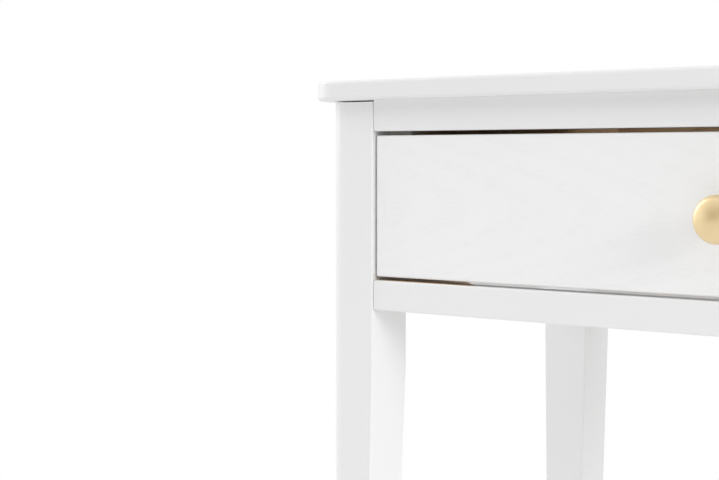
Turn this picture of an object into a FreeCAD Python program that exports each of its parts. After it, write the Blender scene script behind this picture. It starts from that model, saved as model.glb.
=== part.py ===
"""A compact one-drawer dressing table in white painted wood, with a brass knob.

Frame: millimetres, +Z up, the front of the table faces -Y, and X = 0 is its plane of symmetry.
Z = 0 is the floor, and Y = 0 is halfway between the knob's face and the top's back edge.
"""

import FreeCAD, Part
import math
import os

import Sketcher

# --------------------------------------------------------------------------------------
# Driving dimensions, in millimetres
# --------------------------------------------------------------------------------------

DIMENSIONS = {
    # table top and overall size
    "total_height": 750,
    "top_width": 700,
    "top_depth": 398,
    "top_thick": 15,
    "overhang": 14,
    "top_upper_round": 2.5,
    "top_lower_round": 3,
    # legs
    "leg_size": 44,
    "leg_round": 16,
    "arris": 1,
    "foot_size": 30,
    "straight_drop": 50,
    "shadow_gap": 1,
    # glides under the feet
    "glide_thick": 4,
    "glide_diameter": 24,
    "glide_round": 1.2,
    "stem_diameter": 3,
    "stem_length": 12,
    # rails and aprons
    "apron_height": 160,
    "back_apron_height": 176,
    "apron_thick": 18,
    "apron_setback": 2,
    "rail_depth": 22,
    "rail_setback": 0.8,
    "upper_rail_height": 23.5,
    "lower_rail_height": 23,
    "rail_corner": 2,
    "rail_round": 1.5,
    "rail_rear_round": 6,
    # drawer guidance inside the carcase
    "kicker_width": 20,
    "kicker_height": 34,
    "strip_round": 1,
    "runner_width": 21,
    "runner_height": 20,
    "runner_rise": 0.5,
    "guide_height": 60,
    "stop_width": 16,
    "stop_height": 20,
    "stop_gap": 0.5,
    "corner_block_leg": 54,
    # drawer box
    "drawer_depth": 270,
    "drawer_recess": 3,
    "gap_side": 1.5,
    "gap_top": 3.2,
    "gap_bottom": 2.7,
    "front_thick": 19,
    "front_corner": 1.6,
    "front_round": 1.5,
    "side_thick": 12,
    "box_round": 2,
    "slide_gap": 0.2,
    "kicker_gap": 1.5,
    "bottom_thick": 4,
    "bottom_rise": 8,
    "groove_depth": 5,
    "front_groove_depth": 6,
    "groove_play": 0.1,
    "back_lower": 5,
    # knob
    "knob_diameter": 32,
    "knob_length": 33.3,
    "knob_rim_height": 24.5,
    "knob_rim": 7,
    "knob_neck_diameter": 13,
    "knob_base_diameter": 18,
    "knob_base_edge": 1.5,
    "knob_bore_depth": 16,
    "knob_drop": 2.2,
    # dowels
    "rail_dowel_diameter": 6,
    "rail_dowel_spacing": 11,
    "apron_dowel_diameter": 8,
    "dowel_length": 30,
    "front_dowel_length": 28,
    "front_dowel_bite": 9,
    "dowel_chamfer": 1,
    "dowel_end_play": 0.3,
    # screws
    "hole_play": 0.1,
    "long_screw_diameter": 4,
    "long_head_diameter": 8,
    "long_head_height": 3,
    "kicker_counterbore": 11,
    "top_screw_length": 35,
    "runner_counterbore": 3.2,
    "runner_screw_length": 34,
    "box_screw_diameter": 3.5,
    "box_head_diameter": 7,
    "box_head_height": 2.6,
    "box_counterbore": 2.8,
    "box_screw_length": 35,
    "small_screw_diameter": 3,
    "small_head_diameter": 6,
    "small_head_height": 1.8,
    "small_screw_length": 14,
    "knob_screw_length": 30,
    "washer_diameter": 10,
    "washer_thick": 0.8,
}

# Heights of the three dowels in an apron's end, as fractions of its height.
APRON_DOWELS = (0.16, 0.5, 0.84)
# Places along a kicker's or a runner's length for its screws, as fractions of it.
SCREW_STATIONS = (0.14, 0.5, 0.86)
# Heights of the dowels and screws in a drawer side, as fractions of its height.
BOX_STATIONS = (0.32, 0.78)
# Places across the drawer's back for the screws that hold its bottom.
BOTTOM_STATIONS = (0.1, 0.5, 0.9)

doc = FreeCAD.newDocument("DressingTable")
sheet = doc.addObject("Spreadsheet::Sheet", "Sizes")
for row, (alias, number) in enumerate(DIMENSIONS.items(), start=1):
    sheet.set(f"A{row}", alias)
    sheet.set(f"B{row}", str(number))
    sheet.setAlias(f"B{row}", alias)
doc.recompute()


def cell(alias):
    """Return the sheet's number for one driving dimension."""
    return float(sheet.get(alias))


def total(*terms):
    """Join expressions into one sum, in brackets."""
    return "(" + " + ".join(terms) + ")"


def less(first, *others):
    """Subtract expressions from the first one, in brackets."""
    return "(" + " - ".join((first,) + others) + ")"


def times(factor, expression):
    """Multiply an expression by a plain number."""
    return f"({factor} * {expression})"


def ref(alias):
    """Return the expression that reads one driving dimension."""
    return "Sizes." + alias


# --------------------------------------------------------------------------------------
# Places that several pieces share, as expressions of the driving dimensions
# --------------------------------------------------------------------------------------

UNDERSIDE_Z = less(ref("total_height"), ref("top_thick"))
KNOB_BEYOND_TOP = less(ref("knob_length"), ref("overhang"), ref("drawer_recess"))
TOP_FRONT_Y = times(-0.5, less(ref("top_depth"), KNOB_BEYOND_TOP))
LEG_FRONT_Y = total(TOP_FRONT_Y, ref("overhang"))
LEG_BACK_Y = less(total(TOP_FRONT_Y, ref("top_depth")), ref("overhang"))
LEG_OUTER_X = less(times(0.5, ref("top_width")), ref("overhang"))
LEG_INNER_X = less(LEG_OUTER_X, ref("leg_size"))
APRON_INNER_X = less(LEG_OUTER_X, ref("apron_setback"), ref("apron_thick"))
APRON_BOTTOM_Z = less(UNDERSIDE_Z, ref("apron_height"))
BACK_BOTTOM_Z = less(UNDERSIDE_Z, ref("back_apron_height"))
LEG_LENGTH = less(UNDERSIDE_Z, ref("shadow_gap"), ref("glide_thick"))
TAPER_LENGTH = less(APRON_BOTTOM_Z, ref("straight_drop"), ref("glide_thick"))
SIDE_APRON_LENGTH = less(LEG_BACK_Y, LEG_FRONT_Y, times(2, ref("leg_size")))
OPENING_WIDTH = times(2, LEG_INNER_X)

RAIL_FRONT_Y = total(LEG_FRONT_Y, ref("rail_setback"))
RAIL_BACK_Y = total(RAIL_FRONT_Y, ref("rail_depth"))
BACK_INNER_Y = less(LEG_BACK_Y, ref("apron_setback"), ref("apron_thick"))
INNER_DEPTH = less(BACK_INNER_Y, RAIL_BACK_Y)
UPPER_RAIL_Z = less(UNDERSIDE_Z, ref("upper_rail_height"))
OPENING_BOTTOM_Z = total(APRON_BOTTOM_Z, ref("lower_rail_height"))
RUNNER_TOP_Z = total(OPENING_BOTTOM_Z, ref("runner_rise"))
RUNNER_BOTTOM_Z = less(RUNNER_TOP_Z, ref("runner_height"))
RUNNER_MIDDLE_Z = less(RUNNER_TOP_Z, times(0.5, ref("runner_height")))
RUNNER_INNER_X = less(LEG_INNER_X, ref("runner_width"))
KICKER_BOTTOM_Z = less(UNDERSIDE_Z, ref("kicker_height"))

DRAWER_OUTER_X = less(LEG_INNER_X, ref("gap_side"))
DRAWER_WIDTH = times(2, DRAWER_OUTER_X)
DRAWER_FACE_Y = total(LEG_FRONT_Y, ref("drawer_recess"))
FRONT_BACK_Y = total(DRAWER_FACE_Y, ref("front_thick"))
DRAWER_REAR_Y = total(DRAWER_FACE_Y, ref("drawer_depth"))
FRONT_BOTTOM_Z = total(OPENING_BOTTOM_Z, ref("gap_bottom"))
FRONT_HEIGHT = less(UPPER_RAIL_Z, ref("gap_top"), FRONT_BOTTOM_Z)
SIDE_BOTTOM_Z = total(RUNNER_TOP_Z, ref("slide_gap"))
SIDE_TOP_Z = less(KICKER_BOTTOM_Z, ref("kicker_gap"))
SIDE_HEIGHT = less(SIDE_TOP_Z, SIDE_BOTTOM_Z)
SIDE_LENGTH = less(ref("drawer_depth"), ref("front_thick"))
PANEL_BOTTOM_Z = total(SIDE_BOTTOM_Z, ref("bottom_rise"))
GROOVE_Z = less(PANEL_BOTTOM_Z, ref("groove_play"))
GROOVE_HEIGHT = total(ref("bottom_thick"), times(2, ref("groove_play")))
GROOVE_INSET = less(ref("side_thick"), ref("groove_depth"))
BOX_BACK_Z = total(PANEL_BOTTOM_Z, ref("bottom_thick"), ref("groove_play"))
BOX_BACK_HEIGHT = less(SIDE_TOP_Z, ref("back_lower"), BOX_BACK_Z)
BOX_BACK_WIDTH = less(DRAWER_WIDTH, times(2, ref("side_thick")))
KNOB_Z = less(total(FRONT_BOTTOM_Z, times(0.5, FRONT_HEIGHT)), ref("knob_drop"))

DOWEL_HOLE_DEPTH = total(times(0.5, ref("dowel_length")), ref("dowel_end_play"))
RAIL_DOWEL_HOLE = total(ref("rail_dowel_diameter"), ref("hole_play"))
APRON_DOWEL_HOLE = total(ref("apron_dowel_diameter"), ref("hole_play"))
RAIL_DOWEL_OFFSETS = (
    less(times(0.5, ref("rail_depth")), times(0.5, ref("rail_dowel_spacing"))),
    total(times(0.5, ref("rail_depth")), times(0.5, ref("rail_dowel_spacing"))),
)
LONG_SCREW_HOLE = total(ref("long_screw_diameter"), ref("hole_play"))
LONG_HEAD_HOLE = total(ref("long_head_diameter"), ref("hole_play"))
BOX_SCREW_HOLE = total(ref("box_screw_diameter"), ref("hole_play"))
SMALL_SCREW_HOLE = total(ref("small_screw_diameter"), ref("hole_play"))

# --------------------------------------------------------------------------------------
# Helpers: bodies, sketches and features
# --------------------------------------------------------------------------------------

nodes = []
VERTICAL_AXIS = FreeCAD.Vector(0, 0, 1)

# For each face of a box that starts at its body's origin: the origin plane that it is
# parallel to, the sign that turns the box's size into that plane's offset, and whether a
# pocket has to be reversed to cut into the box.
FACES = {
    "x_min": ("YZ_Plane", 1, True),
    "x_max": ("YZ_Plane", 1, False),
    "y_min": ("XZ_Plane", -1, False),
    "y_max": ("XZ_Plane", -1, True),
    "z_min": ("XY_Plane", 1, True),
    "z_max": ("XY_Plane", 1, False),
}


def new_body(label, at=("0", "0", "0"), turn=0.0, tilt=0.0, exported=True):
    """Start a body at a place given by three expressions, turned about +Z, tilted about +X."""
    body = doc.addObject("PartDesign::Body", label)
    body.Label = label
    about_x = FreeCAD.Rotation(FreeCAD.Vector(1, 0, 0), tilt)
    about_z = FreeCAD.Rotation(VERTICAL_AXIS, turn)
    body.Placement = FreeCAD.Placement(FreeCAD.Vector(), about_z.multiply(about_x))
    for axis, expression in zip("xyz", at):
        body.setExpression("Placement.Base." + axis, expression)
    if exported:
        nodes.append(body)
    return body


def new_sketch(body, name, role, offset="0"):
    """Attach a sketch to one of the body's own origin planes, moved along its normal."""
    sketch = body.newObject("Sketcher::SketchObject", body.Name + "_" + name)
    plane = [item for item in body.Origin.OriginFeatures if item.Role == role][0]
    sketch.AttachmentSupport = [(plane, "")]
    sketch.MapMode = "FlatFace"
    sketch.setExpression("AttachmentOffset.Base.z", offset)
    return sketch


def constrain(sketch, kind, *arguments, to=None, guess=1.0):
    """Add one constraint, and bind its value to an expression where it has one.

    guess is the value until the expression is read. It matters only in a sketch whose arcs
    have to stay on the right side of each other.
    """
    if to is None:
        return sketch.addConstraint(Sketcher.Constraint(kind, *arguments))
    index = sketch.addConstraint(Sketcher.Constraint(kind, *arguments, guess))
    sketch.setExpression(f"Constraints[{index}]", to)
    return index


def add_loop(sketch, points):
    """Add a closed loop of straight lines through points that are only a first guess."""
    first = sketch.GeometryCount
    vectors = [FreeCAD.Vector(x, y, 0) for x, y in points]
    for start, end in zip(vectors, vectors[1:] + vectors[:1]):
        sketch.addGeometry(Part.LineSegment(start, end), False)
    for step in range(len(points)):
        following = first + (step + 1) % len(points)
        constrain(sketch, "Coincident", first + step, 2, following, 1)
    return first


def add_rectangle(sketch, corner, width, height):
    """Add a rectangle whose lowest corner and two sizes are expressions."""
    first = add_loop(sketch, ((0, 0), (10, 0), (10, 10), (0, 10)))
    for side, kind in enumerate(("Horizontal", "Vertical", "Horizontal", "Vertical")):
        constrain(sketch, kind, first + side)
    constrain(sketch, "DistanceX", first, 1, first, 2, to=width)
    constrain(sketch, "DistanceY", first + 1, 1, first + 1, 2, to=height)
    place_point(sketch, first, 1, corner)


def add_circle(sketch, centre, diameter):
    """Add a circle whose centre and diameter are expressions."""
    circle = sketch.addGeometry(Part.Circle(FreeCAD.Vector(10, 10, 0), VERTICAL_AXIS, 2), False)
    constrain(sketch, "Diameter", circle, to=diameter)
    place_point(sketch, circle, 3, centre)


def place_point(sketch, geometry, point, at):
    """Fix one point of a sketch at two expressions, measured from the sketch's origin."""
    constrain(sketch, "DistanceX", -1, 1, geometry, point, to=at[0])
    constrain(sketch, "DistanceY", -1, 1, geometry, point, to=at[1])


def pad(body, sketch, length):
    """Pad a sketch along its normal by an expression."""
    feature = body.newObject("PartDesign::Pad", sketch.Name + "_pad")
    feature.Profile = sketch
    feature.setExpression("Length", length)
    return feature


def pocket(body, sketch, depth, into):
    """Cut a sketch on a face of a box into it by an expression."""
    feature = body.newObject("PartDesign::Pocket", sketch.Name + "_cut")
    feature.Profile = sketch
    feature.Reversed = FACES[into][2]
    feature.setExpression("Length", depth)
    return feature


def face_sketch(body, name, face, size):
    """Start a sketch on a face of a box, where size is the box's size along that axis."""
    role, sign, _ = FACES[face]
    offset = "0" if face.endswith("min") else times(sign, size)
    return new_sketch(body, name, role, offset)


def drill(body, name, face, size, centres, diameter, depth):
    """Drill equal blind holes into a face of a box."""
    sketch = face_sketch(body, name, face, size)
    for centre in centres:
        add_circle(sketch, centre, diameter)
    pocket(body, sketch, depth, face)


def slot(body, name, face, size, corner, width, height, depth):
    """Cut a rectangular groove into a face of a box."""
    sketch = face_sketch(body, name, face, size)
    add_rectangle(sketch, corner, width, height)
    pocket(body, sketch, depth, face)


def dress(body, name, kind, chosen):
    """Add a fillet or chamfer on the edges of the body's last feature that the test picks."""
    doc.recompute()
    tip = body.Tip
    picked = [f"Edge{i}" for i, edge in enumerate(tip.Shape.Edges, start=1) if chosen(edge)]
    feature = body.newObject("PartDesign::" + kind, body.Name + "_" + name)
    feature.Base = (tip, picked)
    return feature


def soften(body, name, radius, chosen):
    """Round the edges of the body's last feature that the test picks."""
    dress(body, name, "Fillet", chosen).setExpression("Radius", radius)


def runs_along(axis):
    """Return a test for straight edges along one axis."""
    def test(edge):
        box = edge.BoundBox
        lengths = {"x": box.XLength, "y": box.YLength, "z": box.ZLength}
        others = [lengths[name] for name in lengths if name != axis]
        return lengths[axis] > max(others) + 1.0 and max(others) < 1e-4
    return test


def both(first, second):
    """Return a test for edges that pass two tests."""
    return lambda edge: first(edge) and second(edge)


def lies_at(axis, level):
    """Return a test for edges that lie in one plane square to an axis."""
    def test(edge):
        box = edge.BoundBox
        low, high = {
            "x": (box.XMin, box.XMax),
            "y": (box.YMin, box.YMax),
            "z": (box.ZMin, box.ZMax),
        }[axis]
        return abs(low - level) < 1e-4 and abs(high - level) < 1e-4
    return test


def any_edge(edge):
    """The test that every edge passes."""
    return True


def clear_of(axis, level):
    """Return a test for edges that do not lie in one plane square to an axis."""
    inside = lies_at(axis, level)
    return lambda edge: not inside(edge)


def top_level(body):
    """Return how high the body's last feature reaches above the body's origin."""
    doc.recompute()
    return body.Tip.Shape.BoundBox.ZMax


def board(label, at, sizes, turn=0.0):
    """Make a rectangular board that starts at its body's origin."""
    body = new_body(label, at, turn)
    sketch = new_sketch(body, "outline", "XY_Plane")
    add_rectangle(sketch, ("0", "0"), sizes[0], sizes[1])
    pad(body, sketch, sizes[2])
    return body


def turned(body, draw):
    """Revolve a half-profile about the body's Z axis; draw fills the sketch."""
    sketch = new_sketch(body, "profile", "XZ_Plane")
    draw(sketch)
    feature = body.newObject("PartDesign::Revolution", body.Name + "_turned")
    feature.Profile = sketch
    feature.ReferenceAxis = (sketch, ["V_Axis"])
    feature.Angle = 360
    return feature


def mirrored_x(sign, inner, outer):
    """Return the lowest X of a piece that spans inner to outer on the side of that sign."""
    return inner if sign > 0 else times(-1, outer)


def along(fraction, length):
    """Return the place at a fraction of a length."""
    return times(fraction, length)


# --------------------------------------------------------------------------------------
# Helpers: dowels and screws, each drawn once and linked wherever it is used
# --------------------------------------------------------------------------------------


def dowel(name, diameter, length):
    """Draw one dowel along +Z, chamfered at both ends."""
    body = new_body(name, exported=False)
    sketch = new_sketch(body, "outline", "XY_Plane")
    add_circle(sketch, ("0", "0"), diameter)
    pad(body, sketch, length)
    ends = dress(body, "ends", "Chamfer", lambda edge: edge.BoundBox.ZLength < 1e-4)
    ends.setExpression("Size", ref("dowel_chamfer"))
    return body


def screw(name, kind, length):
    """Draw one screw: its cross-recessed head below Z = 0, and its pointed shank above."""
    body = new_body(name, exported=False)
    shank = times(0.5, ref(kind + "_diameter"))
    head = times(0.5, ref(kind.replace("_screw", "") + "_head_diameter"))
    head_height = ref(kind.replace("_screw", "") + "_head_height")
    tip = ref(kind + "_diameter")

    def draw(sketch):
        corners = ((0, -3), (4, -3), (4, 0), (2, 0), (2, 20), (0, 24))
        first = add_loop(sketch, corners)
        places = (
            ("0", times(-1, head_height)),
            (head, times(-1, head_height)),
            (head, "0"),
            (shank, "0"),
            (shank, less(length, tip)),
            ("0", length),
        )
        for corner, place in enumerate(places):
            place_point(sketch, first + corner, 1, place)

    turned(body, draw)
    sketch = new_sketch(body, "recess", "XY_Plane", times(-1, head_height))
    arm = times(0.6, head)
    blade = times(0.12, head)
    outline = (
        (arm, blade), (blade, blade), (blade, arm), (times(-1, blade), arm),
        (times(-1, blade), blade), (times(-1, arm), blade),
        (times(-1, arm), times(-1, blade)), (times(-1, blade), times(-1, blade)),
        (times(-1, blade), times(-1, arm)), (blade, times(-1, arm)),
        (blade, times(-1, blade)), (arm, times(-1, blade)),
    )
    guess = ((3, 1), (1, 1), (1, 3), (-1, 3), (-1, 1), (-3, 1),
             (-3, -1), (-1, -1), (-1, -3), (1, -3), (1, -1), (3, -1))
    first = add_loop(sketch, guess)
    for corner, place in enumerate(outline):
        place_point(sketch, first + corner, 1, place)
    pocket(body, sketch, times(0.5, head_height), "z_min")
    return body


def group(label, master, places):
    """Link one master piece to several places, each with an axis that +Z turns to."""
    links = []
    for number, (at, axis) in enumerate(places):
        link = doc.addObject("App::Link", f"{label}_{number}")
        link.LinkedObject = master
        link.LinkTransform = False
        turn = FreeCAD.Rotation(VERTICAL_AXIS, FreeCAD.Vector(*axis))
        link.Placement = FreeCAD.Placement(FreeCAD.Vector(), turn)
        for name, expression in zip("xyz", at):
            link.setExpression("Placement.Base." + name, expression)
        links.append(link)
    compound = doc.addObject("Part::Compound", label)
    compound.Label = label
    compound.Links = links
    nodes.append(compound)


# --------------------------------------------------------------------------------------
# Table top
# --------------------------------------------------------------------------------------


def make_top():
    """A board with rounded corners and edges, screwed on from below."""
    at = (times(-0.5, ref("top_width")), TOP_FRONT_Y, UNDERSIDE_Z)
    body = board("table_top", at, (ref("top_width"), ref("top_depth"), ref("top_thick")))
    soften(body, "corners", total(ref("leg_round"), ref("overhang")), runs_along("z"))
    soften(body, "upper", ref("top_upper_round"), lies_at("z", cell("top_thick")))
    soften(body, "lower", ref("top_lower_round"), lies_at("z", 0.0))
    centres = []
    for x, y in kicker_screw_places():
        centres.append((less(x, at[0]), less(y, at[1])))
    through_kicker = less(ref("kicker_height"), ref("kicker_counterbore"))
    depth = total(less(ref("top_screw_length"), through_kicker), ref("hole_play"))
    drill(body, "pilots", "z_min", "0", centres, LONG_SCREW_HOLE, depth)


def kicker_screw_places():
    """Return X and Y of each screw that holds the top down on the kickers."""
    middle = less(LEG_INNER_X, times(0.5, ref("kicker_width")))
    places = []
    for sign in (-1, 1):
        for station in SCREW_STATIONS:
            places.append((times(sign, middle), total(RAIL_BACK_Y, along(station, INNER_DEPTH))))
    return places


# --------------------------------------------------------------------------------------
# Legs and glides
# --------------------------------------------------------------------------------------


def leg_section(body, name, height, size, breadth):
    """Sketch a leg's section: a square with one large corner round, at the outer corner.

    size is the square's side as an expression, and breadth the same as a number, which
    only gives the solver its first guess.
    """
    sketch = new_sketch(body, name, "XY_Plane", height)
    radii = (cell("leg_round"), cell("arris"), cell("arris"), cell("arris"))
    corners = ((0, 0), (breadth, 0), (breadth, breadth), (0, breadth))
    inward = ((1, 1), (-1, 1), (-1, -1), (1, -1))
    centres = [FreeCAD.Vector(x + r * ix, y + r * iy, 0)
               for (x, y), (ix, iy), r in zip(corners, inward, radii)]
    arcs = []
    for quarter, (centre, radius) in enumerate(zip(centres, radii)):
        circle = Part.Circle(centre, VERTICAL_AXIS, radius)
        start = math.pi + quarter * math.pi / 2
        arc = Part.ArcOfCircle(circle, start, start + math.pi / 2)
        arcs.append(sketch.addGeometry(arc, False))
    lines = []
    for quarter in range(4):
        start = sketch.Geometry[arcs[quarter]].EndPoint
        end = sketch.Geometry[arcs[(quarter + 1) % 4]].StartPoint
        lines.append(sketch.addGeometry(Part.LineSegment(start, end), False))
    for quarter in range(4):
        constrain(sketch, "Tangent", arcs[quarter], 2, lines[quarter], 1)
        constrain(sketch, "Tangent", lines[quarter], 2, arcs[(quarter + 1) % 4], 1)
    for line, kind in zip(lines, ("Horizontal", "Vertical", "Horizontal", "Vertical")):
        constrain(sketch, kind, line)
    constrain(sketch, "PointOnObject", lines[0], 1, -1)
    constrain(sketch, "PointOnObject", lines[3], 1, -2)
    constrain(sketch, "DistanceX", -1, 1, lines[1], 1, to=size, guess=breadth)
    constrain(sketch, "DistanceY", -1, 1, lines[2], 1, to=size, guess=breadth)
    for arc, name, radius in zip(arcs, ("leg_round", "arris", "arris", "arris"), radii):
        constrain(sketch, "Radius", arc, to=ref(name), guess=radius)
    return sketch


def rail_dowel_heights():
    """Return the heights of the two front rails' dowels above a leg's lower end."""
    upper = total(UPPER_RAIL_Z, times(0.5, ref("upper_rail_height")))
    lower = total(APRON_BOTTOM_Z, times(0.5, ref("lower_rail_height")))
    return [less(height, ref("glide_thick")) for height in (upper, lower)]


def apron_dowel_heights(joined):
    """Return the heights above the floor of the dowels in a side apron's or the back's end."""
    bottom, height = {
        "side": (APRON_BOTTOM_Z, ref("apron_height")),
        "back": (BACK_BOTTOM_Z, ref("back_apron_height")),
    }[joined]
    return [total(bottom, along(station, height)) for station in APRON_DOWELS]


def drill_leg(body, face, joined):
    """Drill one inner face of a leg for the rails or for the apron that meets it."""
    if joined == "rails":
        centres = []
        for offset in RAIL_DOWEL_OFFSETS:
            for height in rail_dowel_heights():
                centres.append((total(ref("rail_setback"), offset), height))
        diameter = RAIL_DOWEL_HOLE
    else:
        middle = total(ref("apron_setback"), times(0.5, ref("apron_thick")))
        centres = [(middle, less(height, ref("glide_thick")))
                   for height in apron_dowel_heights(joined)]
        diameter = APRON_DOWEL_HOLE
    drill(body, joined + "_" + face, face, ref("leg_size"), centres, diameter, DOWEL_HOLE_DEPTH)


def make_leg(label, corner, turn, x_face, y_face):
    """A square leg that is straight at the top and tapers on its two inner faces.

    Its body's origin is its outer corner, at the foot, and the two inner faces look
    along the body's own +X and +Y.
    """
    body = new_body(label, (corner[0], corner[1], ref("glide_thick")), turn)
    upper = leg_section(body, "upper", TAPER_LENGTH, ref("leg_size"), cell("leg_size"))
    pad(body, upper, less(LEG_LENGTH, TAPER_LENGTH))
    start = leg_section(body, "taper", TAPER_LENGTH, ref("leg_size"), cell("leg_size"))
    foot = leg_section(body, "foot", "0", ref("foot_size"), cell("foot_size"))
    loft = body.newObject("PartDesign::AdditiveLoft", label + "_loft")
    loft.Profile = start
    loft.Sections = [foot]
    loft.Ruled = True
    drill_leg(body, "x_max", x_face)
    drill_leg(body, "y_max", y_face)
    middle = times(0.5, ref("foot_size"))
    depth = total(ref("stem_length"), ref("dowel_end_play"))
    stem_hole = total(ref("stem_diameter"), ref("hole_play"))
    drill(body, "stem", "z_min", "0", [(middle, middle)], stem_hole, depth)


def make_glide(label, corner, turn):
    """A round plastic glide with a stem that is knocked into the foot."""
    body = new_body(label, (corner[0], corner[1], "0"), turn)
    middle = times(0.5, ref("foot_size"))
    sketch = new_sketch(body, "disc", "XY_Plane")
    add_circle(sketch, (middle, middle), ref("glide_diameter"))
    pad(body, sketch, ref("glide_thick"))
    soften(body, "edge", ref("glide_round"), lies_at("z", 0.0))
    stem = new_sketch(body, "stem", "XY_Plane", ref("glide_thick"))
    add_circle(stem, (middle, middle), ref("stem_diameter"))
    pad(body, stem, ref("stem_length"))


def make_legs():
    """Four legs, each turned so that its large round faces outward."""
    left = times(-1, LEG_OUTER_X)
    right = LEG_OUTER_X
    corners = (
        ("front_left", (left, LEG_FRONT_Y), 0, "rails", "side"),
        ("front_right", (right, LEG_FRONT_Y), 90, "side", "rails"),
        ("rear_right", (right, LEG_BACK_Y), 180, "back", "side"),
        ("rear_left", (left, LEG_BACK_Y), 270, "side", "back"),
    )
    for name, corner, turn, x_face, y_face in corners:
        make_leg("leg_" + name, corner, turn, x_face, y_face)
        make_glide("glide_" + name, corner, turn)


# --------------------------------------------------------------------------------------
# Rails and aprons
# --------------------------------------------------------------------------------------


def make_front_rail(label, bottom, height, eased, lead_in):
    """A painted rail between the front legs.

    Its corners and its front edges are softened where they pass the test eased. With
    lead_in, the rear edge of its top is rounded, so that the drawer slides over it.
    """
    at = (times(-1, LEG_INNER_X), RAIL_FRONT_Y, bottom)
    body = board(label, at, (OPENING_WIDTH, ref("rail_depth"), height))
    if lead_in:
        rear_top = both(lies_at("y", cell("rail_depth")), lies_at("z", top_level(body)))
        soften(body, "rear", ref("rail_rear_round"), rear_top)
    soften(body, "corners", ref("rail_corner"), both(runs_along("y"), eased))
    soften(body, "front", ref("rail_round"), both(lies_at("y", 0.0), eased))
    centres = [(offset, times(0.5, height)) for offset in RAIL_DOWEL_OFFSETS]
    for face in ("x_min", "x_max"):
        drill(body, face, face, OPENING_WIDTH, centres, RAIL_DOWEL_HOLE, DOWEL_HOLE_DEPTH)


def make_front_rails():
    """The rail above the drawer, sharp where it meets the top, and the rail below it."""
    height = ref("upper_rail_height")
    below_top = clear_of("z", cell("upper_rail_height"))
    make_front_rail("front_upper_rail", UPPER_RAIL_Z, height, below_top, lead_in=False)
    height = ref("lower_rail_height")
    make_front_rail("front_lower_rail", APRON_BOTTOM_Z, height, any_edge, lead_in=True)


def make_aprons():
    """The two side aprons and the deeper back apron, doweled between the legs."""
    middle = times(0.5, ref("apron_thick"))
    for side, sign in (("left", -1), ("right", 1)):
        outer = less(LEG_OUTER_X, ref("apron_setback"))
        start = total(LEG_FRONT_Y, ref("leg_size"))
        at = (mirrored_x(sign, APRON_INNER_X, outer), start, APRON_BOTTOM_Z)
        sizes = (ref("apron_thick"), SIDE_APRON_LENGTH, ref("apron_height"))
        body = board("side_apron_" + side, at, sizes)
        outer_face = 0.0 if sign < 0 else cell("apron_thick")
        soften(body, "outer", ref("rail_round"), lies_at("x", outer_face))
        centres = [(middle, less(height, APRON_BOTTOM_Z)) for height in apron_dowel_heights("side")]
        for face in ("y_min", "y_max"):
            drill(body, face, face, SIDE_APRON_LENGTH, centres, APRON_DOWEL_HOLE, DOWEL_HOLE_DEPTH)

    at = (times(-1, LEG_INNER_X), BACK_INNER_Y, BACK_BOTTOM_Z)
    sizes = (OPENING_WIDTH, ref("apron_thick"), ref("back_apron_height"))
    body = board("back_apron", at, sizes)
    soften(body, "outer", ref("rail_round"), lies_at("y", cell("apron_thick")))
    centres = [(middle, less(height, BACK_BOTTOM_Z)) for height in apron_dowel_heights("back")]
    for face in ("x_min", "x_max"):
        drill(body, face, face, OPENING_WIDTH, centres, APRON_DOWEL_HOLE, DOWEL_HOLE_DEPTH)


def make_carcase_dowels():
    """The dowels that join the rails and aprons to the legs."""
    half = times(0.5, ref("dowel_length"))
    rail_places = []
    apron_places = []
    for sign in (-1, 1):
        leg_face = times(sign, LEG_INNER_X)
        for height in rail_dowel_heights():
            for offset in RAIL_DOWEL_OFFSETS:
                at = (less(leg_face, half), total(RAIL_FRONT_Y, offset),
                      total(height, ref("glide_thick")))
                rail_places.append((at, (1, 0, 0)))
        middle_x = times(sign, total(APRON_INNER_X, times(0.5, ref("apron_thick"))))
        for height in apron_dowel_heights("side"):
            for leg_edge in (total(LEG_FRONT_Y, ref("leg_size")), less(LEG_BACK_Y, ref("leg_size"))):
                apron_places.append(((middle_x, less(leg_edge, half), height), (0, 1, 0)))
        middle_y = total(BACK_INNER_Y, times(0.5, ref("apron_thick")))
        for height in apron_dowel_heights("back"):
            apron_places.append(((less(leg_face, half), middle_y, height), (1, 0, 0)))
    thin = dowel("rail_dowel", ref("rail_dowel_diameter"), ref("dowel_length"))
    thick = dowel("apron_dowel", ref("apron_dowel_diameter"), ref("dowel_length"))
    group("rail_dowels", thin, rail_places)
    group("apron_dowels", thick, apron_places)


# --------------------------------------------------------------------------------------
# What guides the drawer inside the carcase
# --------------------------------------------------------------------------------------


def make_kicker(side, sign):
    """A strip above a drawer side, which keeps the open drawer level and carries the top."""
    inner = less(LEG_INNER_X, ref("kicker_width"))
    at = (mirrored_x(sign, inner, LEG_INNER_X), RAIL_BACK_Y, KICKER_BOTTOM_Z)
    body = board("kicker_" + side, at, (ref("kicker_width"), INNER_DEPTH, ref("kicker_height")))
    soften(body, "eased", ref("strip_round"), runs_along("y"))
    middle = times(0.5, ref("kicker_width"))
    centres = [(middle, along(station, INNER_DEPTH)) for station in SCREW_STATIONS]
    drill(body, "heads", "z_min", "0", centres, LONG_HEAD_HOLE, ref("kicker_counterbore"))
    drill(body, "shanks", "z_min", "0", centres, LONG_SCREW_HOLE, ref("kicker_height"))


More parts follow.
